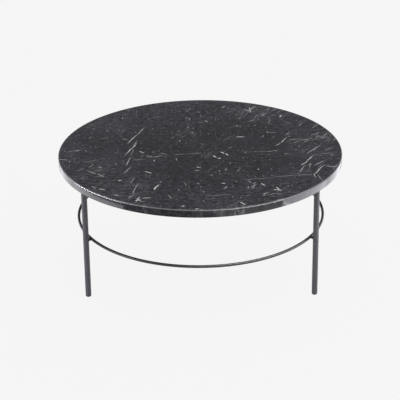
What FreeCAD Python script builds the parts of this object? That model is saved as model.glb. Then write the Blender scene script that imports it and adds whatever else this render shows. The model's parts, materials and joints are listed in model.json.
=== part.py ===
"""Round marble coffee table on a welded steel base with three legs and a brace ring.

Millimetres, +Z up.  The origin lies on the floor under the middle of the top, and the two
front legs stand on the -Y side.  Each piece is written to parts/NODE.step.
"""

import FreeCAD
import Part

import math
import os

Vector = FreeCAD.Vector
UP = Vector(0, 0, 1)
ORIGIN = Vector(0, 0, 0)
COS_45 = math.cos(math.radians(45))
HEXAGON_SIDES = 6

# Whole table
TABLE_HEIGHT = 410.0

# Marble top
TOP_DIAMETER = 900.0
TOP_THICKNESS = 25.0
TOP_ARRIS = 3.0          # radius of the polished upper edge
UNDER_ARRIS = 2.0        # radius of the lower edge

# Legs, three round tubes
LEG_PLACES = ("front_left", "front_right", "back")
FIRST_LEG_ANGLE = 210.0  # degrees from +X, with the others in equal steps
LEG_INSET = 37.0         # edge of the top to the axis of a leg
LEG_DIAMETER = 18.0
LEG_WALL = 2.0

# Brace ring and the pegs that carry it
RING_HEIGHT = 197.0      # floor to the middle of the bar
RING_BAR_DIAMETER = 9.0
RING_GAP = 6.0           # clear distance from a leg to the ring
PEG_DIAMETER = 7.0
PEG_WELD = 2.5           # fillet weld between peg and leg

# Mounting plate at the head of each leg, with one screw inwards and one at each side
PLATE_THICKNESS = 5.0
PLATE_LEG_MARGIN = 7.0   # plate around the leg
PLATE_SCREW_MARGIN = 5.0  # plate around a washer
PLATE_EDGE = 0.8         # rounded lower edge
PLATE_WELD = 3.0         # fillet weld between leg and plate
SIDE_SCREW_SETBACK = 34.0  # leg axis to the side screws, inwards
SIDE_SCREW_SPREAD = 48.0   # side screw to side screw
END_SCREW_SETBACK = 68.0   # leg axis to the inner screw

# Rubber pad between plate and stone
PAD_THICKNESS = 1.5
PAD_INSET = 1.0          # pad edge inside the plate edge

# Screws, washers and threaded inserts
SCREW_DIAMETER = 6.0
SCREW_HOLE_CLEARANCE = 0.3   # on the radius, in plate and pad
SCREW_HEAD_DIAMETER = 10.5
SCREW_HEAD_HEIGHT = 3.3
SCREW_HEAD_RIM = 0.8         # straight rim under the dome
SCREW_SOCKET_WIDTH = 4.0     # across the flats
SCREW_SOCKET_DEPTH = 2.0
SCREW_TIP_SETBACK = 2.0      # screw tip below the end of the insert
WASHER_DIAMETER = 12.0
WASHER_BORE_CLEARANCE = 0.2  # on the radius
WASHER_THICKNESS = 1.6
INSERT_DIAMETER = 9.0
INSERT_THREAD_CLEARANCE = 0.05  # on the radius, screw to insert
INSERT_GROOVE_DEPTH = 0.6
INSERT_GROOVE_WIDTH = 2.0
INSERT_HOLE_RELIEF = 2.0     # hole beyond the insert
GLUE_GAP = 0.15              # on the radius, insert to stone
STONE_OVER_HOLE = 11.0       # stone left above an insert hole

# Plastic glides in the feet of the legs
GLIDE_HEAD_HEIGHT = 8.0
GLIDE_ROUND = 4.5
GLIDE_FIT = 0.1              # on the radius, ribs to the bore of the tube
GLIDE_RIB_HEIGHT = 0.8
GLIDE_RIB_PITCH = 4.5
GLIDE_RIB_COUNT = 3
GLIDE_TIP_CHAMFER = 1.0

# Levels and radii that follow from the sizes above
STONE_UNDERSIDE = TABLE_HEIGHT - TOP_THICKNESS
PLATE_TOP = STONE_UNDERSIDE - PAD_THICKNESS
PLATE_UNDERSIDE = PLATE_TOP - PLATE_THICKNESS
SCREW_SEAT = PLATE_UNDERSIDE - WASHER_THICKNESS
LEG_RADIUS = LEG_DIAMETER / 2
LEG_BORE_RADIUS = LEG_RADIUS - LEG_WALL
LEG_CIRCLE_RADIUS = TOP_DIAMETER / 2 - LEG_INSET
LEG_ANGLES = {place: FIRST_LEG_ANGLE + number * 360 / len(LEG_PLACES)
              for number, place in enumerate(LEG_PLACES)}
RING_BAR_RADIUS = RING_BAR_DIAMETER / 2
RING_RADIUS = LEG_CIRCLE_RADIUS - LEG_RADIUS - RING_GAP - RING_BAR_RADIUS
SCREW_RADIUS = SCREW_DIAMETER / 2
INSERT_RADIUS = INSERT_DIAMETER / 2
INSERT_HOLE_DEPTH = TOP_THICKNESS - STONE_OVER_HOLE
INSERT_LENGTH = INSERT_HOLE_DEPTH - INSERT_HOLE_RELIEF

# Every leg's pieces are drawn on the +X side, with the leg on this axis, and then turned
LEG_FOOT = Vector(LEG_CIRCLE_RADIUS, 0, 0)
SCREW_PLACES = [
    Vector(LEG_CIRCLE_RADIUS - SIDE_SCREW_SETBACK, SIDE_SCREW_SPREAD / 2, 0),
    Vector(LEG_CIRCLE_RADIUS - END_SCREW_SETBACK, 0, 0),
    Vector(LEG_CIRCLE_RADIUS - SIDE_SCREW_SETBACK, -SIDE_SCREW_SPREAD / 2, 0),
]


def turned(shape, angle):
    """A copy of a shape turned about the middle of the table."""
    copy = shape.copy()
    copy.rotate(ORIGIN, UP, angle)
    return copy


def at_height(place, height):
    """The point over a place on the floor at the given height."""
    return Vector(place.x, place.y, height)


def round_bar(place, radius, low, high):
    """An upright cylinder between two heights."""
    return Part.makeCylinder(radius, high - low, at_height(place, low))


def lines(points):
    """Straight edges through the points in order."""
    return [Part.LineSegment(a, b).toShape() for a, b in zip(points, points[1:])]


def arc(start, middle, end):
    """A round edge through three points."""
    return Part.Arc(start, middle, end).toShape()


def turned_solid(edges, point, direction):
    """The solid swept by a closed profile turning once about an axis."""
    profile = Part.Face(Part.Wire(edges))
    return profile.revolve(point, direction, 360)


def edges_at(shape, height):
    """The edges that lie wholly at one height."""
    near = 1e-4
    return [edge for edge in shape.Edges
            if abs(edge.BoundBox.ZMin - height) < near and abs(edge.BoundBox.ZMax - height) < near]


def belt_face(circles, height):
    """The face inside a belt drawn tight round circles, which are listed anticlockwise."""
    normals = []
    for (centre, radius), (next_centre, next_radius) in zip(circles, circles[1:] + circles[:1]):
        run = next_centre - centre
        lean = math.acos((radius - next_radius) / run.Length)
        normals.append(math.atan2(run.y, run.x) - lean)

    def on_circle(number, angle):
        centre, radius = circles[number]
        return Vector(centre.x + radius * math.cos(angle), centre.y + radius * math.sin(angle), height)

    edges = []
    for number in range(len(circles)):
        start = normals[number - 1]
        sweep = (normals[number] - start) % (2 * math.pi)
        edges.append(arc(on_circle(number, start), on_circle(number, start + sweep / 2),
                         on_circle(number, start + sweep)))
        following = (number + 1) % len(circles)
        edges += lines([on_circle(number, normals[number]), on_circle(following, normals[number])])
    return Part.Face(Part.Wire(edges))


def plate_circles(inset):
    """The circles round the leg and the screws that the plate's outline runs round."""
    leg_circle = (LEG_FOOT, LEG_RADIUS + PLATE_LEG_MARGIN - inset)
    screw_radius = WASHER_DIAMETER / 2 + PLATE_SCREW_MARGIN - inset
    return [leg_circle] + [(place, screw_radius) for place in SCREW_PLACES]


def screw_holes(low, high):
    """The cutters of the three clearance holes between two heights."""
    radius = SCREW_RADIUS + SCREW_HOLE_CLEARANCE
    return [round_bar(place, radius, low, high) for place in SCREW_PLACES]


def marble_top():
    """The slab, with both edges eased and blind holes for the inserts."""
    slab = round_bar(ORIGIN, TOP_DIAMETER / 2, STONE_UNDERSIDE, TABLE_HEIGHT)
    slab = slab.makeFillet(TOP_ARRIS, edges_at(slab, TABLE_HEIGHT))
    slab = slab.makeFillet(UNDER_ARRIS, edges_at(slab, STONE_UNDERSIDE))
    hole_end = STONE_UNDERSIDE + INSERT_HOLE_DEPTH
    holes = [round_bar(place, INSERT_RADIUS + GLUE_GAP, STONE_UNDERSIDE, hole_end)
             for place in SCREW_PLACES]
    return slab.cut([turned(hole, angle) for hole in holes for angle in LEG_ANGLES.values()])


def leg():
    """The tube from the glide's shoulder to the plate."""
    tube = round_bar(LEG_FOOT, LEG_RADIUS, GLIDE_HEAD_HEIGHT, PLATE_UNDERSIDE)
    return tube.cut(round_bar(LEG_FOOT, LEG_BORE_RADIUS, GLIDE_HEAD_HEIGHT, PLATE_UNDERSIDE))


def mounting_plate():
    """The kite-shaped plate, with its screw holes and the weld round the leg's head."""
    plate = belt_face(plate_circles(0), PLATE_UNDERSIDE).extrude(UP * PLATE_THICKNESS)
    plate = plate.makeFillet(PLATE_EDGE, edges_at(plate, PLATE_UNDERSIDE))
    plate = plate.cut(screw_holes(PLATE_UNDERSIDE, PLATE_TOP))
    inner = LEG_CIRCLE_RADIUS + LEG_RADIUS
    root = Vector(inner, 0, PLATE_UNDERSIDE)
    toe = root + Vector(PLATE_WELD, 0, 0)
    foot = root - Vector(0, 0, PLATE_WELD)
    hollow = PLATE_WELD * (1 - COS_45)
    weld_edges = lines([foot, root, toe]) + [arc(toe, root + Vector(hollow, 0, -hollow), foot)]
    return plate.fuse(turned_solid(weld_edges, LEG_FOOT, UP)).removeSplitter()


def plate_pad():
    """The rubber gasket, a little smaller than the plate."""
    pad = belt_face(plate_circles(PAD_INSET), PLATE_TOP).extrude(UP * PAD_THICKNESS)
    return pad.cut(screw_holes(PLATE_TOP, STONE_UNDERSIDE))


def brace_ring():
    """The closed ring of round bar."""
    return Part.makeTorus(RING_RADIUS, RING_BAR_RADIUS, Vector(0, 0, RING_HEIGHT))


def ring_peg():
    """The peg from ring to leg, coped to both and flared by its weld at the leg."""
    radius = PEG_DIAMETER / 2
    flared = radius + PEG_WELD
    leg_face = LEG_CIRCLE_RADIUS - LEG_RADIUS
    flare_start = leg_face - PEG_WELD

    def beside_axis(along, away):
        return Vector(along, 0, RING_HEIGHT + away)

    weld_start = beside_axis(flare_start, radius)
    weld_end = beside_axis(leg_face, flared)
    weld_middle = beside_axis(flare_start + PEG_WELD * COS_45,
                              flared - PEG_WELD * COS_45)
    edges = lines([weld_end, beside_axis(LEG_CIRCLE_RADIUS, flared),
                   beside_axis(LEG_CIRCLE_RADIUS, 0), beside_axis(RING_RADIUS, 0),
                   beside_axis(RING_RADIUS, radius), weld_start])
    edges.append(arc(weld_start, weld_middle, weld_end))
    peg = turned_solid(edges, beside_axis(RING_RADIUS, 0), Vector(1, 0, 0))
    leg_bar = round_bar(LEG_FOOT, LEG_RADIUS, GLIDE_HEAD_HEIGHT, PLATE_UNDERSIDE)
    return peg.cut([brace_ring(), leg_bar])


def foot_glide():
    """The plug in the foot of a leg: a rounded head on a stem with barbed ribs."""
    rib_radius = LEG_BORE_RADIUS - GLIDE_FIT
    core_radius = rib_radius - GLIDE_RIB_HEIGHT
    flat_radius = LEG_RADIUS - GLIDE_ROUND
    stem_end = GLIDE_HEAD_HEIGHT + GLIDE_RIB_PITCH * (GLIDE_RIB_COUNT + 1)

    def beside_leg(away, height):
        return Vector(LEG_CIRCLE_RADIUS + away, 0, height)

    outline = [beside_leg(LEG_RADIUS, GLIDE_ROUND), beside_leg(LEG_RADIUS, GLIDE_HEAD_HEIGHT),
               beside_leg(core_radius, GLIDE_HEAD_HEIGHT)]
    for number in range(GLIDE_RIB_COUNT):
        rib_start = GLIDE_HEAD_HEIGHT + GLIDE_RIB_PITCH * (number + 0.5)
        outline += [beside_leg(core_radius, rib_start), beside_leg(rib_radius, rib_start),
                    beside_leg(core_radius, rib_start + GLIDE_RIB_PITCH / 2)]
    outline += [beside_leg(core_radius, stem_end - GLIDE_TIP_CHAMFER),
                beside_leg(core_radius - GLIDE_TIP_CHAMFER, stem_end), beside_leg(0, stem_end),
                beside_leg(0, 0), beside_leg(flat_radius, 0)]
    round_middle = beside_leg(flat_radius + GLIDE_ROUND * COS_45,
                              GLIDE_ROUND * (1 - COS_45))
    edges = lines(outline) + [arc(outline[-1], round_middle, outline[0])]
    return turned_solid(edges, LEG_FOOT, UP)


def plate_screw(place):
    """A button-head screw with a hexagon socket, head down."""
    head_radius = SCREW_HEAD_DIAMETER / 2
    tip = STONE_UNDERSIDE + INSERT_LENGTH - SCREW_TIP_SETBACK
    crown = SCREW_SEAT - SCREW_HEAD_HEIGHT
    rim = SCREW_SEAT - SCREW_HEAD_RIM
    dome_rise = rim - crown
    dome_radius = (head_radius ** 2 + dome_rise ** 2) / (2 * dome_rise)
    half_angle = math.asin(head_radius / dome_radius) / 2

    def beside_axis(away, height):
        return Vector(place.x + away, place.y, height)

    outline = [beside_axis(head_radius, rim), beside_axis(head_radius, SCREW_SEAT),
               beside_axis(SCREW_RADIUS, SCREW_SEAT), beside_axis(SCREW_RADIUS, tip),
               beside_axis(0, tip), beside_axis(0, crown)]
    dome_middle = beside_axis(dome_radius * math.sin(half_angle),
                              crown + dome_radius * (1 - math.cos(half_angle)))
    edges = lines(outline) + [arc(outline[-1], dome_middle, outline[0])]
    screw = turned_solid(edges, place, UP)
    corner_radius = SCREW_SOCKET_WIDTH / 2 / math.cos(math.pi / HEXAGON_SIDES)
    corners = []
    for number in range(HEXAGON_SIDES + 1):
        angle = 2 * math.pi * number / HEXAGON_SIDES
        corners.append(beside_axis(corner_radius * math.cos(angle), crown)
                       + Vector(0, corner_radius * math.sin(angle), 0))
    socket = Part.Face(Part.Wire(lines(corners))).extrude(UP * SCREW_SOCKET_DEPTH)
    return screw.cut(socket)


def plate_washer(place):
    """A plain washer under a screw head."""
    outer = round_bar(place, WASHER_DIAMETER / 2, SCREW_SEAT, PLATE_UNDERSIDE)
    return outer.cut(round_bar(place, SCREW_RADIUS + WASHER_BORE_CLEARANCE, SCREW_SEAT, PLATE_UNDERSIDE))


def thread_insert(place):
    """A brass bush with a glue groove round its middle."""
    bush = round_bar(place, INSERT_RADIUS, STONE_UNDERSIDE, STONE_UNDERSIDE + INSERT_LENGTH)
    bore_radius = SCREW_RADIUS + INSERT_THREAD_CLEARANCE
    bore = round_bar(place, bore_radius, STONE_UNDERSIDE, STONE_UNDERSIDE + INSERT_LENGTH)
    groove_low = STONE_UNDERSIDE + (INSERT_LENGTH - INSERT_GROOVE_WIDTH) / 2
    groove_high = groove_low + INSERT_GROOVE_WIDTH
    groove = round_bar(place, INSERT_RADIUS, groove_low, groove_high)
    groove = groove.cut(round_bar(place, INSERT_RADIUS - INSERT_GROOVE_DEPTH, groove_low, groove_high))
    return bush.cut([bore, groove])


def group(make_one):
    """One piece at each screw place, as separate solids."""
    return Part.makeCompound([make_one(place) for place in SCREW_PLACES])


def main():
    os.makedirs("parts", exist_ok=True)
    pieces = {"marble_top": marble_top(), "brace_ring": brace_ring()}
    leg_pieces = {
        "leg": leg(),
        "mounting_plate": mounting_plate(),
        "plate_pad": plate_pad(),
        "ring_peg": ring_peg(),
        "foot_glide": foot_glide(),
        "plate_screws": group(plate_screw),
        "plate_washers": group(plate_washer),
        "thread_inserts": group(thread_insert),
    }
    for place_name, angle in LEG_ANGLES.items():
        for piece_name, shape in leg_pieces.items():
            pieces[piece_name + "_" + place_name] = turned(shape, angle)
    for node, shape in pieces.items():
        if not shape.isValid():
            raise ValueError(node + " is not a valid solid")
        shape.exportStep("parts/" + node + ".step")
        print(node, len(shape.Solids), round(shape.Volume / 1000, 3), "cm3")


main()
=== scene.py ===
"""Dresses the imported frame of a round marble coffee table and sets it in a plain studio.

Metres, +Z up.  The origin lies on the floor under the middle of the top, and the side with two
legs in front looks along -Y.  Every size comes from the frame, the tables or the settings below.
"""

import json
import math
from functools import partialmethod

import bmesh
import bpy
from mathutils import Matrix, Quaternion, Vector

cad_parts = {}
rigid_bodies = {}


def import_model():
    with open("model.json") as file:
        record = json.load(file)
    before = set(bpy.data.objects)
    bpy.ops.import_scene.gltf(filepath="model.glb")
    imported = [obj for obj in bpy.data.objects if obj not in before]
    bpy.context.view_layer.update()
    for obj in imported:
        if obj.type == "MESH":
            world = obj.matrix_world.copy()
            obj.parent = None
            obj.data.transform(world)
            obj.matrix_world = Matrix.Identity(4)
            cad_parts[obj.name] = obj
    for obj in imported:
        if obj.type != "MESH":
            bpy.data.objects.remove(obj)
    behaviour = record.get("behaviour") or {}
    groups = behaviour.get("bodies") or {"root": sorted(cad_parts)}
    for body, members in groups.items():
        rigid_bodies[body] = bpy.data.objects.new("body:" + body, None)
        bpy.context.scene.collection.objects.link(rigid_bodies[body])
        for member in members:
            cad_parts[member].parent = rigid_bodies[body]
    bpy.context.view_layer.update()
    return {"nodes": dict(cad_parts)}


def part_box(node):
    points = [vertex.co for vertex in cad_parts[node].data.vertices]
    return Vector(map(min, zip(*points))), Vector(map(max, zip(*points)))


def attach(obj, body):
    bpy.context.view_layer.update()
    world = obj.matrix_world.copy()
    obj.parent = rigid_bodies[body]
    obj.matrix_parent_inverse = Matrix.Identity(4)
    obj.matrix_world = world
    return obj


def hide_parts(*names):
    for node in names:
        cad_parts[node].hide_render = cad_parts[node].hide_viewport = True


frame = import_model()

bl_info = {
    "name": "Round marble coffee table",
    "version": (1, 0, 0),
    "blender": (4, 5, 0),
    "location": "3D View > Sidebar > Coffee Table",
    "description": "Stone, steel and fixings of a round coffee table around its packed frame",
    "category": "Add Mesh",
}

BODY = "root"
LEG_PLACES = ("front_left", "front_right", "back")
MM = 0.001
QUARTER = math.pi / 2
SHARP = math.radians(35)
LEVEL_ONLY = (1.0, 1.0, 0.0)

# Steps round each turned shape.
SLAB_STEPS = 288
RING_STEPS = 288
BAR_STEPS = 28
TUBE_STEPS = 64
GLIDE_STEPS = 56
FIXING_STEPS = 48
HOLE_STEPS = 40

# Marks that stand out in the stone: middle x and y, length, turn from +X, and strength in hundredths.
# Millimetres and degrees on the polished face, sketched in round figures.
VEINS = (
    (-220, 100, 95, 70, 95), (-195, 165, 85, 70, 60), (-210, 55, 65, 75, 45), (-220, 15, 125, 70, 100),
    (-215, -10, 65, 80, 30), (-225, -85, 85, 80, 60), (-225, -155, 65, 70, 60), (-205, -230, 60, 75, 40),
    (-195, -290, 95, 80, 60), (-205, -350, 50, 65, 35), (-185, -370, 55, 75, 75), (-180, -375, 45, 125, 65),
    (250, 45, 40, 50, 70), (270, 80, 60, 65, 85), (285, 135, 25, 60, 70), (360, 0, 100, 55, 80),
    (325, -110, 55, 55, 100), (345, -70, 60, 60, 95), (315, -155, 65, 70, 65), (370, -110, 70, 50, 60),
    (365, -165, 105, 65, 95), (350, -210, 45, 100, 55), (365, -225, 60, 105, 35), (230, 245, 50, 75, 35),
    (290, 230, 45, 130, 30),
)
HAIRLINES = (
    (185, -225, 90, 10, 22), (255, -210, 95, 10, 28), (320, -200, 75, 10, 36), (180, -15, 80, 5, 20),
    (230, -10, 60, 20, 36), (305, 85, 55, 15, 42), (345, 85, 50, 15, 42), (375, 130, 50, 45, 40),
    (310, 60, 35, 20, 35), (340, 65, 35, 50, 35), (410, 5, 50, 45, 35), (395, -35, 50, 15, 30),
    (400, -135, 25, 145, 70), (415, -140, 25, 10, 85), (235, 145, 35, 5, 36), (125, 205, 30, 0, 48),
    (130, 275, 30, 30, 45), (-65, -30, 50, 5, 30), (-20, -25, 60, 10, 40), (-195, -70, 50, 10, 25),
    (-400, 5, 60, 20, 40), (-430, -65, 40, 165, 55), (-335, -165, 50, 135, 50), (-305, -190, 40, 135, 60),
    (-370, -145, 40, 45, 30), (-340, -120, 30, 60, 35), (-160, -45, 35, 145, 50), (-135, -45, 40, 20, 50),
    (-115, -25, 30, 150, 35), (55, -345, 105, 5, 20), (-150, 290, 50, 35, 25), (-310, 110, 35, 25, 25),
)
SPECKS = (
    (60, -165, 9, 90, 60), (80, -150, 10, 60, 55), (35, -195, 12, 30, 45), (110, -245, 10, 90, 55),
    (150, -250, 16, 120, 65), (165, -260, 14, 20, 65), (145, -290, 14, 90, 70), (160, -295, 18, 50, 55),
    (215, -340, 22, 40, 50), (190, -345, 20, 70, 50), (265, -285, 12, 60, 45), (135, -65, 10, 90, 50),
    (-5, -260, 14, 120, 60), (-45, -260, 26, 100, 40), (-65, -305, 14, 100, 45), (10, -320, 14, 90, 45),
    (-90, -355, 32, 110, 45), (-120, -245, 14, 60, 50), (-155, -200, 10, 60, 45), (-75, -70, 28, 100, 40),
    (-210, -350, 16, 60, 55), (-150, -10, 16, 100, 50), (-245, 100, 24, 160, 50), (-390, 5, 14, 15, 50),
    (-365, 5, 9, 90, 60), (-350, 190, 16, 10, 45), (-260, 285, 16, 100, 55), (-35, 270, 22, 90, 45),
    (-35, 365, 16, 90, 55), (-5, 335, 14, 130, 50), (170, 250, 32, 50, 45), (205, 115, 14, 60, 55),
    (220, 150, 20, 100, 45), (330, 210, 30, 60, 45), (375, 190, 22, 50, 50),
)
FLECKS = (
    (45, -50, 22, 125, 100), (60, -65, 16, 155, 95), (70, -20, 20, 130, 100), (85, -35, 20, 115, 90),
    (130, 110, 35, 5, 90), (-185, -10, 30, 135, 60), (-160, -170, 35, 145, 85), (-135, -290, 28, 75, 100),
    (-130, -275, 25, 60, 80), (-245, -230, 14, 35, 90), (-295, -295, 22, 165, 95), (-250, -340, 20, 150, 55),
    (-160, -360, 35, 5, 55), (-185, -375, 22, 30, 95), (-310, -130, 18, 140, 55), (-320, -280, 30, 135, 40),
    (-5, -135, 18, 150, 75), (-10, -160, 20, 0, 40), (-50, -420, 16, 25, 80), (-10, -440, 12, 25, 100),
    (70, -260, 16, 0, 85), (75, -290, 28, 60, 40), (190, -270, 26, 125, 80), (230, -310, 28, 175, 80),
    (235, -305, 40, 115, 80), (195, -335, 28, 45, 40), (160, -280, 32, 60, 45), (125, -405, 30, 125, 90),
    (160, 345, 40, 140, 50), (170, 350, 65, 95, 50), (180, 370, 45, 55, 45), (270, 290, 26, 70, 85),
    (80, 380, 35, 60, 40), (20, 250, 22, 130, 50),
)
DOTS = (
    (-145, -80, 10, 90, 85), (-410, -80, 11, 90, 55), (-40, 200, 10, 90, 60), (-25, 150, 10, 90, 60),
    (-65, 80, 11, 90, 85), (-305, 175, 10, 90, 60), (180, -155, 10, 90, 90), (80, -155, 9, 90, 60),
    (220, -155, 9, 90, 50), (-95, 235, 9, 90, 40), (10, -385, 8, 90, 45), (305, -5, 8, 90, 40),
)
# The lists of marks, each with the width of its marks.
MARKS = ((3.2, VEINS), (3.8, HAIRLINES), (3.6, SPECKS), (6.0, FLECKS), (4.2, DOTS))

# Scattered marks: size of a cell, length and width of a mark, share of cells with one, turn, spread of turn.
DASH_NAMES = ("Cell", "Length", "Width", "Share", "Turn", "Turn Spread")
SMALL_DASHES = (0.012, 0.0048, 0.0018, 0.45, 1.0, 4.5)
LARGE_DASHES = (0.045, 0.0120, 0.0017, 0.40, 0.9, 3.6)
GRAINS = (0.024, 0.0030, 0.0024, 0.30, 0.0, 3.0)
# Broken hairlines: turn from +X, spacing and thinness.
THREAD_NAMES = ("Turn", "Spacing", "Thin")
STEEP_THREADS = (math.radians(63), 0.060, 0.012)
LEVEL_THREADS = (math.radians(15), 0.085, 0.010)

# How much duller the stone is where hands have been, on its marks and at its eased edge.
SMUDGE_DULL = 0.05
MARK_DULL = 0.06
EASED_DULL = 0.38
# How much paler its eased edge is: partly honed stone, partly a painted highlight along the edge.
EASED_PALE_AND_HIGHLIGHT = 0.14

# Coats: share of the coat's colour, and how much smoother than on the legs.  A share below 1 is painted
# shade: the ring, the pegs and the weld beads get darker copies of the legs' coat.
COATS = {
    "charcoal_powder_coat": (1.0, 0.0),
    "charcoal_at_welds": (0.2, 0.0),
    "charcoal_on_ring": (0.36, 0.14),
}
# Small parts: setting of the colour, size of the grain, metallic, roughness and depth of the grain.
SMALL_PARTS = {
    "zinc_plate": ("zinc", 0.0004, 1.0, 0.30, 0.00001),
    "turned_brass": ("brass", 0.0004, 1.0, 0.24, 0.00001),
    "black_rubber": ("rubber", 0.0008, 0.0, 0.70, 0.00006),
    "moulded_plastic": ("plastic", 0.0006, 0.0, 0.48, 0.00004),
}

# Lamps: place, target, size, lean, setting of the brightness, share of it, and the pieces that it lights.
LEAN = math.radians(11.3)
LAMPS = {
    "strip_left_front": ((-0.80, -0.32, 0.128), (0, -0.32, 0.128), (0.69, 0.11), -LEAN, "left_strip", 1, ""),
    "strip_left_back": ((-0.80, 0.395, 0.20), (0, 0.395, 0.20), (0.75, 0.40), 0, "left_strip", 0.65, ""),
    "strip_right_front": ((0.80, -0.28, 0.20), (0, -0.28, 0.20), (0.60, 0.40), 0, "right_strip", 1, ""),
    "strip_right_back": ((0.80, 0.395, 0.20), (0, 0.395, 0.20), (0.75, 0.40), 0, "right_strip", 0.55, ""),
    "rim_left": ((-0.85, -0.42, 0.390), (0, -0.42, 0.390), (0.58, 0.03), 0, "rim_light", 1, "stone"),
    "rim_right": ((0.49, -0.83, 0.390), (-0.07, 0, 0.390), (0.78, 0.03), 0, "rim_light", 0.45, "stone"),
    "right_box": ((1.05, -1.06, 1.90), (0.15, -0.42, 0.41), (2.2, 0.8), -2.4 * LEAN, "right_box", 1, "base"),
    "left_fill": ((-2.00, -0.95, 0.60), (-0.36, -0.20, 0.20), (0.80, 0.60), 0, "left_fill", 1, "base"),
}
OVERHEAD_TURN = (math.radians(4), math.radians(20), 0)
# Left, right, near and far side of the dark card in front, and its height over the floor.
CARD = (-1.15, 0.20, -1.90, -0.62, 0.002)

SLAB_LOW, SLAB_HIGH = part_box("marble_top")
RING_LOW, RING_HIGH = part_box("brace_ring")


def leg_axis(place):
    """The point on the floor under the middle of a leg."""
    low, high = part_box("leg_" + place)
    return Vector(((low.x + high.x) / 2, (low.y + high.y) / 2, 0))


LEG_CIRCLE = leg_axis("back").length
FIRST_LEG_TURN = math.atan2(*leg_axis("front_left").yx)
LEG_LOW, LEG_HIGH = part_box("leg_front_left")
LEG_RADIUS = (LEG_HIGH.x - LEG_LOW.x) / 2
RING_BAR_RADIUS = (RING_HIGH.z - RING_LOW.z) / 2
RING_RADIUS = (RING_HIGH.x - RING_LOW.x) / 2 - RING_BAR_RADIUS
RING_LEVEL = (RING_HIGH.z + RING_LOW.z) / 2


def setting(label, default, **options):
    """A property that holds a number, or several where the default has several."""
    kind = bpy.props.FloatVectorProperty if isinstance(default, tuple) else bpy.props.FloatProperty
    return kind(name=label, description=label, default=default, **options)


def length_setting(label, default):
    """A setting for a size in metres."""
    return setting(label, default, min=0.0, precision=4, unit="LENGTH")


def colour_setting(label, default):
    """A setting for a colour."""
    return setting(label, default, size=3, min=0.0, max=1.0, subtype="COLOR")


def share_setting(label, default):
    """A setting for a share from 0 to 1."""
    return setting(label, default, min=0.0, max=1.0, subtype="FACTOR")


class MarbleSettings(bpy.types.PropertyGroup):
    """Edges, colours and polish of the stone."""

    upper_edge: length_setting("Radius of the eased upper edge", 0.003)
    lower_edge: length_setting("Radius of the lower edge", 0.002)
    hole_radius: length_setting("Radius of the blind holes for the inserts", 0.00465)
    hole_depth: length_setting("Depth of the blind holes", 0.014)
    stone: colour_setting("Ground colour of the marble", (0.0304, 0.0296, 0.0351))
    vein: colour_setting("Colour of the white veins", (0.80, 0.80, 0.82))
    polish: share_setting("Roughness of the polished faces", 0.07)


class SteelSettings(bpy.types.PropertyGroup):
    """Coat and sizes of the welded base."""

    coat: colour_setting("Colour of the powder coat", (0.088, 0.086, 0.100))
    coat_roughness: share_setting("Roughness of the powder coat", 0.52)
    tube_wall: length_setting("Wall of the leg tubes", 0.002)
    tube_edge: length_setting("Rounding at the cut ends of the tubes", 0.0004)
    peg_radius: length_setting("Radius of the pegs between ring and legs", 0.0035)
    bead_width: length_setting("Width of a weld bead", 0.0026)


class FixingSettings(bpy.types.PropertyGroup):
    """Sizes of the screws and washers, and colours of the small parts."""

    side_setback: length_setting("Leg axis to the side screws, inwards", 0.034)
    end_setback: length_setting("Leg axis to the inner screw, inwards", 0.068)
    spread: length_setting("Side screw to side screw", 0.048)
    thread_radius: length_setting("Outer radius of the screw thread", 0.003)
    thread_pitch: length_setting("Rise of the thread in one turn", 0.001)
    head_radius: length_setting("Radius of the button head", 0.00525)
    head_height: length_setting("Height of the button head", 0.0033)
    head_rim: length_setting("Straight rim under the dome", 0.0008)
    socket_width: length_setting("Width of the hexagon socket across its flats", 0.004)
    socket_depth: length_setting("Depth of the hexagon socket", 0.002)
    washer_radius: length_setting("Outer radius of a washer", 0.006)
    washer_bore: length_setting("Radius of a washer's hole", 0.0032)
    zinc: colour_setting("Colour of the plated steel", (0.60, 0.61, 0.62))
    brass: colour_setting("Colour of the inserts", (0.66, 0.49, 0.22))
    rubber: colour_setting("Colour of the pads", (0.022, 0.022, 0.023))
    plastic: colour_setting("Colour of the foot glides", (0.075, 0.074, 0.082))


class StageSettings(bpy.types.PropertyGroup):
    """Floor, lamps and camera."""

    floor: colour_setting("Colour of the pale floor and the space behind it", (0.92, 0.92, 0.92))
    floor_size: length_setting("Side of the square floor", 60.0)
    floor_glow: share_setting("Share of the floor's colour that no lamp changes", 0.975)
    surround: colour_setting("Light that comes from all round", (0.12, 0.12, 0.125))
    key: setting("Strength of the overhead lamp", 2.75)
    key_spread: setting("Apparent width of the overhead lamp", math.radians(100), subtype="ANGLE")
    left_strip: setting("Brightness of the strips on the left", 1.9)
    right_strip: setting("Brightness of the strips on the right", 3.2)
    rim_light: setting("Brightness of the strips that only the eased edge mirrors", 440.0)
    right_box: setting("Brightness of the right softbox", 18.0)
    left_fill: setting("Brightness of the low lamp on the left", 10.5)
    dark_card: share_setting("Brightness of the card mirrored in the front edge", 0.32)
    tint: colour_setting("Colour of the panels", (0.93, 0.92, 1.0))
    lens: setting("Focal length in millimetres", 136.46)
    camera_place: setting("Place of the camera", (0.0132, -4.4460, 2.2761), subtype="TRANSLATION")
    camera_turn: setting("Dip below the horizon, roll and turn to the left",
                         (math.radians(24.644), math.radians(-0.629), math.radians(0.198)), subtype="EULER")


# Node trees

# Kinds of the named group sockets.  The others hold a number.
SOCKET_KINDS = {
    "Vector": "Vector", "Level": "Vector", "Place": "Vector", "Rotation": "Vector", "Bead Size": "Vector",
    "Steps Round": "Int", "Steps Across": "Int", "Beads": "Int",
    "Color": "Color", "Stone": "Color", "Vein": "Color",
    "Geometry": "Geometry", "Material": "Material",
}


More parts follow.
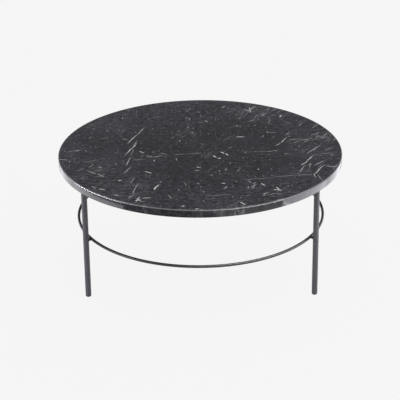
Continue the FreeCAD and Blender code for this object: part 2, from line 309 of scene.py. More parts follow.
class Net:
    """A node tree with short ways to add to it.  Every value is plain or another node's socket."""

    def __init__(self, tree):
        self.tree = tree

    def feed(self, node, inputs):
        """Gives each named input of a node a value or a link."""
        for key, value in inputs.items():
            if isinstance(value, bpy.types.NodeSocket):
                self.tree.links.new(value, node.inputs[key])
            else:
                node.inputs[key].default_value = value

    def add(self, kind, inputs=None, **options):
        """The outputs of a new node, after its options and its inputs are set."""
        node = self.tree.nodes.new(kind)
        for name, value in options.items():
            setattr(node, name, value)
        self.feed(node, inputs or {})
        return node.outputs

    def shape(self, kind, inputs=None):
        """The first output of a new geometry node."""
        return self.add("GeometryNode" + kind, inputs)[0]

    def maths(self, operation, *values):
        """The result of a Math node."""
        return self.add("ShaderNodeMath", dict(enumerate(values)), operation=operation)[0]

    plus = partialmethod(maths, "ADD")
    minus = partialmethod(maths, "SUBTRACT")
    times = partialmethod(maths, "MULTIPLY")
    over = partialmethod(maths, "DIVIDE")
    most = partialmethod(maths, "MAXIMUM")

    def sum_of(self, share, value, start):
        """A value times a share, on top of a start."""
        return self.maths("MULTIPLY_ADD", value, share, start)

    def vector(self, operation, *values, output="Vector"):
        """The result of a Vector Math node."""
        return self.add("ShaderNodeVectorMath", dict(enumerate(values)), operation=operation)[output]

    def parts(self, vector):
        """The three parts of a vector."""
        return self.add("ShaderNodeSeparateXYZ", {0: vector})

    def joined(self, **parts):
        """A vector from the parts X, Y and Z that are given."""
        return self.add("ShaderNodeCombineXYZ", parts)[0]

    def turned_back(self, vector, angle):
        """A vector turned about Z against an angle."""
        return self.add("ShaderNodeVectorRotate", {"Vector": vector, "Angle": self.times(angle, -1.0)},
                        rotation_type="Z_AXIS")[0]

    def remap(self, value, low, high, to_low=0.0, to_high=1.0):
        """A value eased from one range to another."""
        return self.add("ShaderNodeMapRange", {"Value": value, "From Min": low, "From Max": high,
                                               "To Min": to_low, "To Max": to_high},
                        interpolation_type="SMOOTHSTEP", clamp=False)["Result"]

    def noise(self, vector, scale, detail=2.0, roughness=0.5, output=0):
        """A noise, as a value or a colour."""
        return self.add("ShaderNodeTexNoise", {"Vector": vector, "Scale": scale, "Detail": detail,
                                               "Roughness": roughness})[output]

    def mix(self, factor, first, second, blend="MIX"):
        """Two colours mixed by a factor."""
        return self.add("ShaderNodeMix", {0: factor, 6: first, 7: second}, data_type="RGBA",
                        blend_type=blend)[2]

    def group(self, make, inputs):
        """The outputs of a shared effect."""
        return self.add("ShaderNodeGroup", inputs, node_tree=shared(make))

    def sized(self, make, vector, size):
        """The outputs of a shared effect of one size."""
        return self.group(make, {"Vector": vector, "Size": size})

    def bump(self, shader, height, distance, strength):
        """Feeds a height into a shader's normal."""
        normal = self.add("ShaderNodeBump", {"Height": height, "Distance": distance, "Strength": strength})[0]
        self.feed(shader, {"Normal": normal})


def new_group(name, kind, inputs, outputs):
    """A node group with named sockets: its net, its inputs and its output node."""
    tree = bpy.data.node_groups.new(name, kind)
    for side, names in (("INPUT", inputs), ("OUTPUT", outputs)):
        for socket in names:
            tree.interface.new_socket(name=socket, in_out=side,
                                      socket_type="NodeSocket" + SOCKET_KINDS.get(socket, "Float"))
    given = tree.nodes.new("NodeGroupInput").outputs
    return Net(tree), given, tree.nodes.new("NodeGroupOutput")


def shader_group(name, inputs, outputs):
    """A new group of shader nodes."""
    return new_group(name, "ShaderNodeTree", inputs, outputs)


def shape_group(name, *inputs):
    """A new group of geometry nodes that ends with a material."""
    return new_group(name, "GeometryNodeTree", ("Geometry", *inputs, "Material"), ("Geometry",))


def shared(make):
    """The node group named after its maker, which is made once and then used again."""
    if make.__name__ not in bpy.data.node_groups:
        make(make.__name__)
    return bpy.data.node_groups[make.__name__]


def opaque(colour, share=1.0):
    """A colour dimmed to a share, with full alpha, as a socket takes it."""
    return (*(channel * share for channel in colour[:3]), 1.0)


def bare_net(owner):
    """The emptied node tree of a material or a world."""
    owner.use_nodes = True
    owner.node_tree.nodes.clear()
    return Net(owner.node_tree)


def new_material(name):
    """The net of a new material, its shader, and where a point lies on the object, in metres."""
    net = bare_net(bpy.data.materials.new(name))
    shader = net.tree.nodes.new("ShaderNodeBsdfPrincipled")
    net.add("ShaderNodeOutputMaterial", {"Surface": shader.outputs[0]})
    return net, shader, net.add("ShaderNodeTexCoord")["Object"]


# Shared effects


def fine_grain(name):
    """A fine even texture: Height for bump and Tone for colour and roughness, both about 0 to 1."""
    net, given, result = shader_group(name, ("Vector", "Size"), ("Height", "Tone"))
    scale = net.over(1.0, given["Size"])
    fine = net.noise(given["Vector"], scale, roughness=0.55)
    broad = net.noise(given["Vector"], net.times(scale, 0.04), detail=3.0)
    net.feed(result, {"Height": fine, "Tone": net.remap(broad, 0.3, 0.7)})


def handling(name):
    """Faint smudges and dust: a mask from 0 to 1."""
    net, given, result = shader_group(name, ("Vector", "Size"), ("Smudge",))
    wide = net.noise(given["Vector"], net.over(1.0, given["Size"]), detail=5.0, roughness=0.6)
    net.feed(result, {"Smudge": net.remap(wide, 0.42, 0.75)})


def dash_field(name):
    """Short marks scattered one to a cell: a mask from 0 to 1."""
    net, given, result = shader_group(name, ("Vector", *DASH_NAMES), ("Mask",))
    scale = net.over(1.0, given["Cell"])
    cells = net.add("ShaderNodeTexVoronoi", {"Vector": given["Vector"], "Scale": scale},
                    voronoi_dimensions="2D")
    pick, pick_turn, pick_size = net.add("ShaderNodeSeparateColor", {"Color": cells["Color"]})
    flat = net.vector("MULTIPLY", given["Vector"], LEVEL_ONLY)
    local = net.vector("SUBTRACT", flat, cells["Position"])
    swing = net.times(net.minus(pick_turn, 0.5), given["Turn Spread"])
    part = net.parts(net.turned_back(local, net.plus(given["Turn"], swing)))
    size = net.remap(pick_size, 0.0, 1.0, 0.35, 1.0)
    along = net.over(part[0], net.times(given["Length"], size))
    across = net.over(part[1], net.times(given["Width"], size))
    reach = net.maths("SQRT", net.plus(net.times(along, along), net.times(across, across)))
    dash = net.remap(reach, 1.0, 0.35)
    chosen = net.maths("LESS_THAN", pick, given["Share"])
    strength = net.remap(net.over(pick, given["Share"]), 1.0, 0.0, 0.25, 1.0)
    net.feed(result, {"Mask": net.times(net.times(dash, chosen), strength)})


def vein_field(name):
    """Broken hairlines that run one way: a mask from 0 to 1."""
    net, given, result = shader_group(name, ("Vector", *THREAD_NAMES), ("Mask",))
    drawn_out = (0.16, 1.0, 0.3)
    drawn = net.vector("MULTIPLY", net.turned_back(given["Vector"], given["Turn"]), drawn_out)
    scale = net.over(1.0, given["Spacing"])
    wave = net.noise(drawn, scale, detail=4.0, roughness=0.55)
    ridge = net.maths("ABSOLUTE", net.minus(wave, 0.5))
    line = net.remap(ridge, given["Thin"], 0.0)
    patch = net.noise(given["Vector"], net.times(scale, 0.5), detail=3.0)
    net.feed(result, {"Mask": net.times(line, net.remap(patch, 0.50, 0.68))})


def drawn_marks(net, vector):
    """The mask of the sketched marks, each a dash that thins out to its ends."""
    mask = 0.0
    for width, marks in MARKS:
        for across, back, length, turn, strength in marks:
            slope = Vector((math.cos(math.radians(turn)), math.sin(math.radians(turn)), 0.0))
            aslant = Vector((-slope.y, slope.x, 0.0))
            local = net.vector("SUBTRACT", vector, (across * MM, back * MM, 0.0))
            along = net.vector("DOT_PRODUCT", local, slope * 2 / (length * MM), output="Value")
            aside = net.vector("DOT_PRODUCT", local, aslant * 2 / (width * MM), output="Value")
            reach = net.sum_of(aside, aside, net.times(along, along))
            mask = net.most(net.remap(reach, 1.0, 0.25, 0.0, strength / 100), mask)
    return mask


def on_a_face(net, height):
    """1 on the two flat faces of the slab and little on its edge."""
    middle, half = (SLAB_HIGH.z + SLAB_LOW.z) / 2, (SLAB_HIGH.z - SLAB_LOW.z) / 2
    away = net.maths("ABSOLUTE", net.minus(height, middle))
    return net.remap(away, half - 1.5 * MM, half - 0.3 * MM, 0.12, 1.0)


def marble_pattern(name):
    """The stone's colour, the mask of its white marks and the mask of its eased upper edge."""
    net, given, result = shader_group(name, ("Vector", "Stone", "Vein"), ("Color", "Marks", "Eased"))
    place = given["Vector"]
    wander = net.vector("SUBTRACT", net.noise(place, 55.0, detail=3.0, output="Color"), (0.5, 0.5, 0.5))
    bent = net.vector("MULTIPLY_ADD", wander, (7 * MM, 7 * MM, 7 * MM), place)
    drawn = drawn_marks(net, bent)
    drawn = net.times(drawn, net.remap(net.noise(place, 190.0), 0.34, 0.52, 0.42, 1.0))

    def field(make, names, vector, sizes):
        return net.group(make, {"Vector": vector, **dict(zip(names, sizes))})[0]

    small = field(dash_field, DASH_NAMES, bent, SMALL_DASHES)
    large = field(dash_field, DASH_NAMES, bent, LARGE_DASHES)
    grains = field(dash_field, DASH_NAMES, place, GRAINS)
    steep = field(vein_field, THREAD_NAMES, bent, STEEP_THREADS)
    level = field(vein_field, THREAD_NAMES, bent, LEVEL_THREADS)
    crowded = net.remap(net.noise(place, 11.0, detail=3.0), 0.38, 0.62, 0.06, 0.30)
    scattered = net.most(net.times(small, crowded), net.times(large, 0.40))
    scattered = net.most(scattered, net.times(grains, 0.50))
    across, back, up = net.parts(place)
    face = on_a_face(net, up)
    scattered = net.times(scattered, face)
    threads = net.times(net.most(steep, level), net.remap(across, 0.0, 0.32, 0.11, 0.30))
    marks = net.most(net.most(scattered, threads), drawn)

    clouds = net.remap(net.noise(place, 7.0, detail=5.0, roughness=0.6), 0.25, 0.75, 0.80, 1.30)
    out = net.vector("LENGTH", net.vector("MULTIPLY", place, LEVEL_ONLY), output="Value")
    paler = net.remap(out, 0.12, 0.45, 0.91, 1.30)
    # On the slab's edge the stone's colour is darkened to 0.70: painted shade.
    clouds = net.times(net.times(clouds, paler), net.remap(face, 0.0, 1.0, 0.70, 1.0))
    streaked = net.vector("MULTIPLY", place, (0.65, 1.0, 1.0))
    mottle = net.noise(streaked, 90.0, detail=4.0, roughness=0.65)
    mottle = net.remap(mottle, 0.28, 0.72, -0.45, 0.52)
    busier = net.remap(net.maths("ABSOLUTE", back), 0.10, 0.34, 1.0, 1.55)
    shade = net.times(clouds, net.sum_of(busier, mottle, 1.0))
    ground = net.mix(1.0, given["Stone"], shade, "MULTIPLY")
    corner = SLAB_HIGH.x + SLAB_HIGH.z - bpy.context.scene.table_marble.upper_edge
    eased = net.remap(net.plus(out, up), corner - 0.4 * MM, corner + 0.4 * MM)
    # The eased edge is mixed towards the vein colour: honed stone and a painted highlight.
    ground = net.mix(net.times(eased, EASED_PALE_AND_HIGHLIGHT), ground, given["Vein"])
    net.feed(result, {"Color": net.mix(marks, ground, given["Vein"]), "Marks": marks, "Eased": eased})


# Materials


def stone_pattern(net, place):
    """The outputs of the stone's pattern in the colours of the settings."""
    settings = bpy.context.scene.table_marble
    return net.group(marble_pattern, {"Vector": place, "Stone": opaque(settings.stone),
                                      "Vein": opaque(settings.vein)})


def polished_marble(name):
    """Black marble with a mirror polish, duller on the veins, at the eased edge and where hands have been."""
    net, shader, place = new_material(name)
    pattern = stone_pattern(net, place)
    smudge = net.sized(handling, place, 0.11)[0]
    dull = net.sum_of(SMUDGE_DULL, smudge, bpy.context.scene.table_marble.polish)
    dull = net.sum_of(MARK_DULL, pattern["Marks"], dull)
    dull = net.sum_of(EASED_DULL, pattern["Eased"], dull)
    net.feed(shader, {"Base Color": pattern["Color"], "Roughness": dull, "IOR": 1.52})
    net.bump(shader, net.sized(fine_grain, place, 0.0025)["Height"], distance=3e-6, strength=0.5)


def sawn_marble(name):
    """The same stone as the saw leaves it, grey and dull."""
    net, shader, place = new_material(name)
    pattern = stone_pattern(net, place)
    grain = net.sized(fine_grain, place, 0.0012)
    saw = net.add("ShaderNodeTexWave", {"Vector": place, "Scale": 45.0, "Distortion": 2.5, "Detail": 2.0},
                  bands_direction="Y")[1]
    dust = net.sum_of(0.05, grain["Tone"], 0.06)
    colour = net.mix(dust, pattern["Color"], (0.42, 0.42, 0.42, 1.0))
    net.feed(shader, {"Base Color": colour, "Roughness": net.sum_of(0.10, saw, 0.52)})
    net.bump(shader, net.plus(saw, grain["Height"]), distance=1e-4, strength=0.6)


def powder_coat(name):
    """Charcoal powder coat: satin, with the fine orange peel of a baked coat.  Its darker copies paint shade
    on the ring, the pegs and the welds.
    """
    settings = bpy.context.scene.table_steel
    share, smoother = COATS[name]
    net, shader, place = new_material(name)
    grain = net.sized(fine_grain, place, 0.0009)
    smudge = net.sized(handling, place, 0.05)[0]
    # A share below 1 gives a darker copy of the coat: painted shade on the ring, the pegs and the welds.
    coat = opaque(settings.coat, share)
    colour = net.mix(grain["Tone"], coat, opaque(coat, 0.93))
    rough = net.sum_of(0.08, smudge, settings.coat_roughness - smoother)
    net.feed(shader, {"Base Color": colour, "Roughness": rough})
    net.bump(shader, grain["Height"], distance=12e-6, strength=0.5)


def small_part(name):
    """A plain small part with its own grain."""
    paint, grain_size, metallic, roughness, depth = SMALL_PARTS[name]
    colour = getattr(bpy.context.scene.table_fixings, paint)
    net, shader, place = new_material(name)
    grain = net.sized(fine_grain, place, grain_size)
    shade = net.mix(grain["Tone"], opaque(colour), opaque(colour, 0.75))
    rough = net.sum_of(0.12, grain["Tone"], roughness)
    net.feed(shader, {"Base Color": shade, "Metallic": metallic, "Roughness": rough})
    net.bump(shader, grain["Height"], distance=depth, strength=0.6)


MAKERS = {
    "marble_polished": polished_marble,
    "marble_sawn": sawn_marble,
    **dict.fromkeys(COATS, powder_coat),
    **dict.fromkeys(SMALL_PARTS, small_part),
}


def finish(name):
    """A material by its name, which is made once and then used again."""
    if name not in bpy.data.materials:
        MAKERS[name](name)
    return bpy.data.materials[name]


# Meshes


def new_object(name, data):
    """An object at the origin that shows a mesh, a lamp or a camera."""
    made = bpy.data.objects.new(name, data)
    bpy.context.scene.collection.objects.link(made)
    return made


def smooth(mesh):
    """Shades a mesh smooth apart from its sharp edges."""
    mesh.shade_smooth()
    mesh.set_sharp_from_angle(angle=SHARP)


def tidy_mesh(mesh):
    """Merges doubles, turns the faces outwards and shades the mesh."""
    work = bmesh.new()
    work.from_mesh(mesh)
    bmesh.ops.remove_doubles(work, verts=work.verts, dist=1e-7)
    bmesh.ops.recalc_face_normals(work, faces=work.faces)
    work.to_mesh(mesh)
    work.free()
    smooth(mesh)


def arc_points(centre, radius, start, end, steps):
    """Points of an arc in a profile, each a distance from the axis and a height."""
    points = []
    for step in range(steps + 1):
        angle = start + (end - start) * step / steps
        points.append((centre[0] + radius * math.cos(angle), centre[1] + radius * math.sin(angle)))
    return points


def turned_mesh(name, profile, axis, segments, closed=False):
    """A profile turned about an upright axis.  It is open at the axis, or closed into a tube."""
    corners = []
    rows = []
    for away, height in profile:
        count = 1 if away == 0 else segments
        rows.append([len(corners) + number for number in range(count)])
        for number in range(count):
            angle = 2 * math.pi * number / segments
            corners.append((axis.x + away * math.cos(angle), axis.y + away * math.sin(angle), height))
    faces = []
    for row, following in zip(rows, rows[1:] + rows[:1] if closed else rows[1:]):
        for number in range(segments):
            after = (number + 1) % segments
            around = (row[number % len(row)], row[after % len(row)],
                      following[after % len(following)], following[number % len(following)])
            faces.append(tuple(dict.fromkeys(around)))
    mesh = bpy.data.meshes.new(name)
    mesh.from_pydata(corners, [], [face for face in faces if len(face) > 2])
    tidy_mesh(mesh)
    return mesh


def turned_piece(name, profile, place, segments, closed, material, slot, node):
    """A profile turned about a leg's axis, in place of that leg's CAD node."""
    mesh = turned_mesh(name + place, profile, leg_axis(place), segments, closed)
    mesh.materials.append(finish(material))
    dress(new_object(name + place, mesh), slot, node + place)


def stage_sheet(name, left, right, near, far, height):
    """A level sheet of the stage, and the net of its bare material."""
    mesh = bpy.data.meshes.new(name)
    mesh.from_pydata([(left, near, height), (right, near, height), (right, far, height),
                      (left, far, height)], [], [(0, 1, 2, 3)])
    mesh.materials.append(bpy.data.materials.new(name))
    return new_object(name, mesh), bare_net(mesh.materials[0])


def baked(obj):
    """Turns an object's modifiers into plain mesh and removes them."""
    bpy.context.view_layer.update()
    shown = obj.evaluated_get(bpy.context.evaluated_depsgraph_get())
    mesh = bpy.data.meshes.new_from_object(shown)
    obj.modifiers.clear()
    obj.data = mesh
    mesh.name = obj.name


def node_piece(name, make, values, mesh=None):
    """The plain mesh that a shared Geometry Nodes tree makes from its named inputs and a mesh, if any."""
    tree = shared(make)
    made = new_object(name, mesh or bpy.data.meshes.new(name))
    modifier = made.modifiers.new("shape", "NODES")
    modifier.node_group = tree
    sockets = {item.name: item.identifier for item in tree.interface.items_tree if item.in_out == "INPUT"}
    for socket_name, value in values.items():
        modifier[sockets[socket_name]] = value
    baked(made)
    tidy_mesh(made.data)
    return made


def dress(piece, slot, *nodes):
    """Fixes a piece to the table, in place of the CAD nodes named."""
    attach(piece, BODY)
    if nodes:
        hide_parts(*nodes)


def finish_nodes(name, material):
    """Gives the CAD nodes of one name, which keep their shapes, their finished material."""
    for place in LEG_PLACES:
        slots = frame["nodes"][name + place].data.materials
        slots.clear()
        slots.append(finish(material))


# Geometry Nodes


def end_tree(net, geometry, given, result):
    """Ends a tree: realises instances, smooths and gives the material."""
    real = net.shape("RealizeInstances", {0: geometry})
    rounded = net.shape("SetShadeSmooth", {0: real})
    painted = net.shape("SetMaterial", {"Geometry": rounded, "Material": given["Material"]})
    net.feed(result, {0: painted})


def circle(net, steps, radius):
    """A level round curve."""
    return net.shape("CurvePrimitiveCircle", {"Resolution": steps, "Radius": radius})


def copies(net, points, instance, **inputs):
    """A geometry repeated at points."""
    return net.shape("InstanceOnPoints", {"Points": points, "Instance": instance, **inputs})


def repeat_at_legs(net, geometry, first_turn):
    """Copies of a geometry turned to each of the three legs."""
    stations = net.shape("Points", {"Count": len(LEG_PLACES)})
    index = net.shape("InputIndex")
    turn = net.sum_of(2 * math.pi / len(LEG_PLACES), index, first_turn)
    return copies(net, stations, geometry, Rotation=net.joined(Z=turn))


def bent_bar(name):
    """A round bar bent into a level ring."""
    net, given, result = shape_group(name, "Ring Radius", "Bar Radius", "Level", "Steps Round",
                                     "Steps Across")
    path = circle(net, given["Steps Round"], given["Ring Radius"])
    lifted = net.shape("Transform", {"Geometry": path, "Translation": given["Level"]})
    section = circle(net, given["Steps Across"], given["Bar Radius"])
    bar = net.shape("CurveToMesh", {"Curve": lifted, "Profile Curve": section})
    end_tree(net, bar, given, result)


def weld_run(name):
    """A round of weld beads over a round or flat face, at every leg."""
    net, given, result = shape_group(name, "Joint Radius", "Over Radius", "Beads", "Bead Size", "Rotation",
                                     "Place", "First Turn")
    joint = circle(net, given["Beads"], given["Joint Radius"])
    here = net.parts(net.shape("InputPosition"))[0]
    over = net.times(given["Over Radius"], given["Over Radius"])
    rise = net.maths("SQRT", net.minus(over, net.times(here, here)))
    drop = net.joined(Z=net.minus(rise, given["Over Radius"]))
    lowered = net.shape("SetPosition", {"Geometry": joint, "Offset": drop})
    tangent = net.shape("InputTangent")
    facing = net.add("FunctionNodeAlignRotationToVector", {"Vector": tangent}, axis="X")[0]
    bead = net.shape("MeshIcoSphere", {"Radius": 1.0, "Subdivisions": 3})
    beads = copies(net, lowered, bead, Rotation=facing, Scale=given["Bead Size"])
    placed = net.shape("Transform", {"Geometry": beads, "Translation": given["Place"],
                                     "Rotation": given["Rotation"]})
    end_tree(net, repeat_at_legs(net, placed, given["First Turn"]), given, result)


def screw_pattern(name):
    """A small part repeated at the three screw places of every leg."""
    net, given, result = shape_group(name, "Leg Circle", "Side Setback", "End Setback", "Spread",
                                     "First Turn")
    side = net.minus(net.shape("InputIndex"), 1.0)
    reach = net.minus(given["End Setback"], given["Side Setback"])
    setback = net.minus(given["End Setback"], net.times(net.maths("ABSOLUTE", side), reach))
    away = net.minus(given["Leg Circle"], setback)
    aside = net.times(net.times(side, given["Spread"]), 0.5)
    spots = net.shape("Points", {"Count": 3, "Position": net.joined(X=away, Y=aside)})
    parts = copies(net, spots, given["Geometry"])
    end_tree(net, repeat_at_legs(net, parts, given["First Turn"]), given, result)


def at_screws(context, name, mesh, **inputs):
    """A small part at the screw places of every leg."""
    settings = context.scene.table_fixings
    places = {"Leg Circle": LEG_CIRCLE, "Side Setback": settings.side_setback,
              "End Setback": settings.end_setback, "Spread": settings.spread, "First Turn": FIRST_LEG_TURN}
    return node_piece(name, screw_pattern, {**places, **inputs}, mesh)


# Operators


class TABLE_OT_marble_top(bpy.types.Operator):
    """Cuts, eases and polishes the stone slab"""

    bl_idname = "coffee_table.marble_top"
    bl_label = "Marble top"

    def execute(self, context):
        settings = context.scene.table_marble
        radius = min(-SLAB_LOW.x, SLAB_HIGH.x, -SLAB_LOW.y, SLAB_HIGH.y)
        low, high = SLAB_LOW.z, SLAB_HIGH.z
        upper, lower = settings.upper_edge, settings.lower_edge
        rings = [radius * share for share in (0.15, 0.30, 0.45, 0.60, 0.75, 0.88)]
        profile = [(0, low)] + [(ring, low) for ring in rings]
        profile += arc_points((radius - lower, low + lower), lower, -QUARTER, 0, steps=8)
        profile += arc_points((radius - upper, high - upper), upper, 0, QUARTER, steps=12)
        profile += [(ring, high) for ring in reversed(rings)] + [(0, high)]
        slab = new_object("marble_slab", turned_mesh("marble_slab", profile, Vector(), SLAB_STEPS))
        slab.data.materials.append(finish("marble_polished"))
        slab.data.materials.append(finish("marble_sawn"))
        cutters = self.insert_holes(context, low)
        cut = slab.modifiers.new("insert holes", "BOOLEAN")
        cut.object = cutters
        cut.solver = "EXACT"
        baked(slab)
        bpy.data.objects.remove(cutters)
        for face in slab.data.polygons:
            underside = face.center.z < low + settings.hole_depth and face.center.xy.length < radius - lower
            face.material_index = 1 if underside else 0
        smooth(slab.data)
        dress(slab, "black_marble", "marble_top")
        return {"FINISHED"}

    def insert_holes(self, context, underside):
        """The cutters of the nine blind holes."""
        settings = context.scene.table_marble
        start, end = underside - settings.hole_depth, underside + settings.hole_depth
        profile = [(0, start), (settings.hole_radius, start), (settings.hole_radius, end), (0, end)]
        return at_screws(context, "insert_holes", turned_mesh("insert_hole", profile, Vector(), HOLE_STEPS))


class TABLE_OT_legs(bpy.types.Operator):
    """Makes the three leg tubes with their cut ends eased"""

    bl_idname = "coffee_table.legs"
    bl_label = "Legs"

    def execute(self, context):
        settings = context.scene.table_steel
        edge = settings.tube_edge
        bore = LEG_RADIUS - settings.tube_wall
        for place in LEG_PLACES:
            low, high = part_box("leg_" + place)
            profile = [(bore, low.z + edge), (bore + edge, low.z)]
            profile += arc_points((LEG_RADIUS - edge, low.z + edge), edge, -QUARTER, 0, steps=4)
            profile += [(LEG_RADIUS, RING_LEVEL), (LEG_RADIUS, high.z), (bore, high.z), (bore, RING_LEVEL)]
            turned_piece("leg_tube_", profile, place, TUBE_STEPS, True, "charcoal_powder_coat",
                         "powder_coat", "leg_")
        return {"FINISHED"}


class TABLE_OT_brace_ring(bpy.types.Operator):
    """Bends the brace ring and finishes the pegs that carry it"""

    bl_idname = "coffee_table.brace_ring"
    bl_label = "Brace ring and pegs"

    def execute(self, context):
        # The ring gets a darker copy of the legs' coat: painted shade under the top.
        values = {"Ring Radius": RING_RADIUS, "Bar Radius": RING_BAR_RADIUS, "Level": (0, 0, RING_LEVEL),
                  "Steps Round": RING_STEPS, "Steps Across": BAR_STEPS,
                  "Material": finish("charcoal_on_ring")}
        dress(node_piece("ring_bar", bent_bar, values), "powder_coat", "brace_ring")
        # The pegs get the darkest copy of the coat: painted shade where they join the ring and the legs.
        finish_nodes("ring_peg_", "charcoal_at_welds")
        return {"FINISHED"}


class TABLE_OT_welds(bpy.types.Operator):
    """Lays the weld beads at the pegs and under the plates"""

    bl_idname = "coffee_table.welds"
    bl_label = "Welds"

    def execute(self, context):
        settings = context.scene.table_steel
        half = settings.bead_width / 2
        peg = settings.peg_radius
        flat = 1.0
        inwards = (0, -QUARTER, 0)
        outwards = (QUARTER, 0, QUARTER)
        downwards = (math.pi, 0, 0)
        runs = {
            "leg_weld": (peg + half, LEG_RADIUS, 30, inwards,
                         (LEG_CIRCLE - LEG_RADIUS - half * 0.4, 0, RING_LEVEL)),
            "ring_weld": (peg + half * 0.3, RING_BAR_RADIUS, 24, outwards,
                          (RING_RADIUS + RING_BAR_RADIUS + half * 0.3, 0, RING_LEVEL)),
            "plate_weld": (LEG_RADIUS + half * 0.75, flat, 48, downwards,
                           (LEG_CIRCLE, 0, LEG_HIGH.z - half * 0.75)),
        }
        # The beads get the darkest copy of the coat: painted shade at the joints.
        for name, (joint, over, beads, turn, place) in runs.items():
            values = {"Joint Radius": joint, "Over Radius": over, "Beads": beads,
                      "Bead Size": (half * 0.85, half, half * 0.9), "Rotation": turn, "Place": place,
                      "First Turn": FIRST_LEG_TURN, "Material": finish("charcoal_at_welds")}
            dress(node_piece(name, weld_run, values), "powder_coat")
        return {"FINISHED"}


class TABLE_OT_plates(bpy.types.Operator):
    """Finishes the mounting plates, their rubber pads and the brass inserts"""

    bl_idname = "coffee_table.plates"
    bl_label = "Plates, pads and inserts"

    def execute(self, context):
        finish_nodes("mounting_plate_", "charcoal_powder_coat")
        finish_nodes("plate_pad_", "black_rubber")
        finish_nodes("thread_inserts_", "turned_brass")
        return {"FINISHED"}


class TABLE_OT_screws(bpy.types.Operator):
    """Makes the nine button-head screws and their washers"""

    bl_idname = "coffee_table.screws"
    bl_label = "Screws and washers"

    def execute(self, context):
        settings = context.scene.table_fixings
        for name, mesh, node in (("button_screws", self.screw_mesh(settings), "plate_screws_"),
                                 ("plain_washers", self.washer_mesh(settings), "plate_washers_")):
            piece = at_screws(context, name, mesh, Material=finish("zinc_plate"))
            dress(piece, "zinc_steel", *[node + place for place in LEG_PLACES])
        return {"FINISHED"}

    def screw_mesh(self, settings):
        """One screw with a domed head, a hexagon socket and a rolled thread, on the Z axis."""
        low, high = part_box("plate_screws_front_left")
        crown, tip = low.z, high.z
        seat = crown + settings.head_height
        rise = seat - settings.head_rim - crown
        pitch, radius = settings.thread_pitch, settings.thread_radius
        flat = settings.socket_width / 2
        socket_radius = flat * 1.1
        dome = (settings.head_radius ** 2 + rise ** 2) / (2 * rise)
        start = math.asin(socket_radius / dome)
        end = math.asin(settings.head_radius / dome)
        profile = [(0, crown + settings.socket_depth * 1.15), (flat, crown + settings.socket_depth)]
        profile += arc_points((0, crown + dome), dome, start - QUARTER, end - QUARTER, steps=8)
        profile += [(settings.head_radius, seat), (radius, seat)]
        root = radius - 0.6 * pitch
        level = seat + pitch * 2
        profile.append((radius, level))
        while level < tip - pitch * 2:
            profile += [(root, level + pitch * 0.5), (radius, level + pitch)]
            level += pitch
        profile += [(root, tip), (0, tip)]
        mesh = turned_mesh("button_screw", profile, Vector(), FIXING_STEPS)
        for corner in mesh.vertices:
            away = corner.co.xy.length
            if 0 < away <= socket_radius and corner.co.z < crown + settings.socket_depth * 1.1:
                angle = math.atan2(corner.co.y, corner.co.x) % (math.pi / 3) - math.pi / 6
                corner.co.xy *= flat / math.cos(angle) / away
        return mesh

    def washer_mesh(self, settings):
        """One washer with eased edges, on the Z axis."""
        low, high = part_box("plate_washers_front_left")
        ease = (high.z - low.z) * 0.15
        outer, bore = settings.washer_radius, settings.washer_bore
        profile = [(bore, low.z + ease), (bore + ease, low.z), (outer - ease, low.z), (outer, low.z + ease)]
        profile += [(outer, high.z - ease), (outer - ease, high.z), (bore + ease, high.z),
                    (bore, high.z - ease)]
        return turned_mesh("plain_washer", profile, Vector(), FIXING_STEPS, closed=True)


class TABLE_OT_glides(bpy.types.Operator):
    """Moulds the plastic glides in the feet"""

    bl_idname = "coffee_table.glides"
    bl_label = "Foot glides"

    def execute(self, context):
        bore = LEG_RADIUS - context.scene.table_steel.tube_wall
        stem = bore * 0.85
        rib = bore * 0.98
        lip = 0.3 * MM
        for place in LEG_PLACES:
            low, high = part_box("foot_glide_" + place)
            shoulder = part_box("leg_" + place)[0].z
            round_edge = shoulder * 0.5625
            flat = LEG_RADIUS - round_edge
            profile = [(0, low.z + lip), (flat * 0.35, low.z + lip), (flat * 0.42, low.z), (flat, low.z)]
            profile += arc_points((flat, low.z + round_edge), round_edge, -QUARTER, 0, steps=12)[1:]
            profile += [(LEG_RADIUS, shoulder - lip), (LEG_RADIUS - lip, shoulder), (stem, shoulder)]
            pitch = (high.z - shoulder) / 4
            for number in range(3):
                level = shoulder + pitch * (number + 0.5)
                profile += [(stem, level), (rib, level), (stem, level + pitch / 2)]
            profile += [(stem, high.z - MM), (stem - MM, high.z), (0, high.z)]
            turned_piece("glide_", profile, place, GLIDE_STEPS, False, "moulded_plastic", "glide_plastic",
                         "foot_glide_")
        return {"FINISHED"}


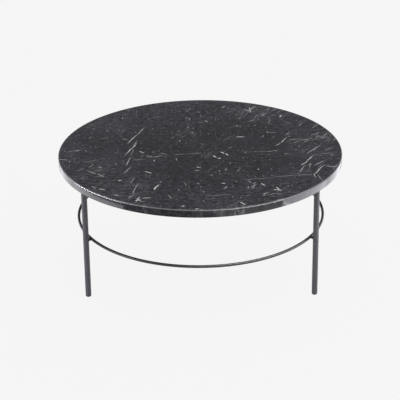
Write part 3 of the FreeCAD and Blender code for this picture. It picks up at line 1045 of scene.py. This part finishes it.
class TABLE_OT_stage(bpy.types.Operator):
    """Lays the floor, hangs the lamps and sets the camera"""

    bl_idname = "coffee_table.stage"
    bl_label = "Stage"

    def execute(self, context):
        settings = context.scene.table_stage
        self.lay_floor(settings)
        self.fill_world(context, settings)
        self.hang_lamps(settings)
        self.lay_card(settings)
        self.set_camera(context, settings)
        context.scene.view_settings.view_transform = "Standard"
        return {"FINISHED"}

    def lay_floor(self, settings):
        """A pale floor that keeps a soft trace of the table's shadow."""
        half = settings.floor_size / 2
        floor, net = stage_sheet("studio_floor", -half, half, -half, half, 0)
        path = net.add("ShaderNodeLightPath")
        seen = net.most(path["Is Camera Ray"], net.most(path["Is Glossy Ray"], path["Is Transmission Ray"]))
        lit = net.add("ShaderNodeBsdfDiffuse", {"Color": opaque(settings.floor)})[0]
        even = net.add("ShaderNodeEmission", {"Color": opaque(settings.floor)})[0]
        share = net.times(seen, settings.floor_glow)
        mixed = net.add("ShaderNodeMixShader", {0: share, 1: lit, 2: even})[0]
        net.add("ShaderNodeOutputMaterial", {"Surface": mixed})

    def fill_world(self, context, settings):
        """Dim light from all round, with the floor's own colour where the camera looks past it."""
        context.scene.world = bpy.data.worlds.new("studio")
        net = bare_net(context.scene.world)
        seen = net.add("ShaderNodeLightPath")["Is Camera Ray"]
        colour = net.mix(seen, opaque(settings.surround), opaque(settings.floor))
        light = net.add("ShaderNodeBackground", {"Color": colour})[0]
        net.add("ShaderNodeOutputWorld", {"Surface": light})

    def hang_lamps(self, settings):
        """A broad lamp overhead, and panels round the table that show in polish and gloss.

        Some panels light only the stone or only the base.  The left fill lights dull faces as well.
        """
        key = bpy.data.lights.new("overhead", "SUN")
        key.energy = settings.key
        key.angle = settings.key_spread
        new_object("overhead", key).rotation_euler = OVERHEAD_TURN
        lit_pieces = {name: bpy.data.collections.new(name) for name in ("stone", "base")}
        for piece in bpy.data.objects:
            if piece.type == "MESH" and piece.name != "studio_floor":
                lit_pieces["stone" if piece.name == "marble_slab" else "base"].objects.link(piece)
        for name, (place, target, size, lean, brightness, share, lit) in LAMPS.items():
            lamp = bpy.data.lights.new(name, "AREA")
            lamp.shape = "RECTANGLE"
            lamp.size, lamp.size_y = size
            lamp.energy = getattr(settings, brightness) * share * math.pi * lamp.size * lamp.size_y
            lamp.color = settings.tint
            holder = new_object(name, lamp)
            holder.location = place
            aim = (Vector(target) - Vector(place)).to_track_quat("-Z", "Y")
            holder.rotation_euler = (aim @ Quaternion((0, 0, 1), lean)).to_euler()
            holder.visible_camera = False
            holder.visible_diffuse = name == "left_fill"
            if lit:
                holder.light_linking.receiver_collection = lit_pieces[lit]

    def lay_card(self, settings):
        """A dark card on the floor in front, which only the polished edge mirrors."""
        card, net = stage_sheet("dark_card", *CARD)
        glow = net.add("ShaderNodeEmission", {"Color": opaque(settings.tint),
                                              "Strength": settings.dark_card})[0]
        net.add("ShaderNodeOutputMaterial", {"Surface": glow})
        for rays in ("camera", "diffuse", "transmission", "shadow"):
            setattr(card, "visible_" + rays, False)

    def set_camera(self, context, settings):
        """The photograph's viewpoint."""
        data = bpy.data.cameras.new("viewpoint")
        data.lens = settings.lens
        data.clip_end = 200.0
        camera = new_object("viewpoint", data)
        dip, roll, turn = settings.camera_turn
        aim = Matrix.Rotation(turn, 4, "Z") @ Matrix.Rotation(QUARTER - dip, 4, "X")
        camera.matrix_world = (Matrix.Translation(settings.camera_place) @ aim
                               @ Matrix.Rotation(roll, 4, "Z"))
        context.scene.camera = camera


class TABLE_PT_pieces(bpy.types.Panel):
    """The table's pieces and their settings"""

    bl_idname = "TABLE_PT_pieces"
    bl_label = "Coffee table"
    bl_space_type = "VIEW_3D"
    bl_region_type = "UI"
    bl_category = "Coffee Table"

    def draw(self, context):
        for operator in OPERATORS:
            self.layout.operator(operator.bl_idname)
        for name in SETTINGS:
            group = getattr(context.scene, name)
            box = self.layout.box()
            for item in group.bl_rna.properties:
                if not item.is_readonly and item.identifier != "name":
                    box.prop(group, item.identifier)


SETTINGS = {
    "table_marble": MarbleSettings,
    "table_steel": SteelSettings,
    "table_fixings": FixingSettings,
    "table_stage": StageSettings,
}
OPERATORS = (TABLE_OT_marble_top, TABLE_OT_legs, TABLE_OT_brace_ring, TABLE_OT_welds, TABLE_OT_plates,
             TABLE_OT_screws, TABLE_OT_glides, TABLE_OT_stage)
CLASSES = (*SETTINGS.values(), *OPERATORS, TABLE_PT_pieces)


def register():
    for each in CLASSES:
        bpy.utils.register_class(each)
    for name, group in SETTINGS.items():
        setattr(bpy.types.Scene, name, bpy.props.PointerProperty(type=group))


def unregister():
    for name in SETTINGS:
        delattr(bpy.types.Scene, name)
    for each in reversed(CLASSES):
        bpy.utils.unregister_class(each)


def main():
    """Registers the add-on and builds the table and its stage."""
    register()
    bpy.ops.coffee_table.marble_top()
    bpy.ops.coffee_table.legs()
    bpy.ops.coffee_table.brace_ring()
    bpy.ops.coffee_table.welds()
    bpy.ops.coffee_table.plates()
    bpy.ops.coffee_table.screws()
    bpy.ops.coffee_table.glides()
    bpy.ops.coffee_table.stage()


if __name__ == "__main__":
    main()
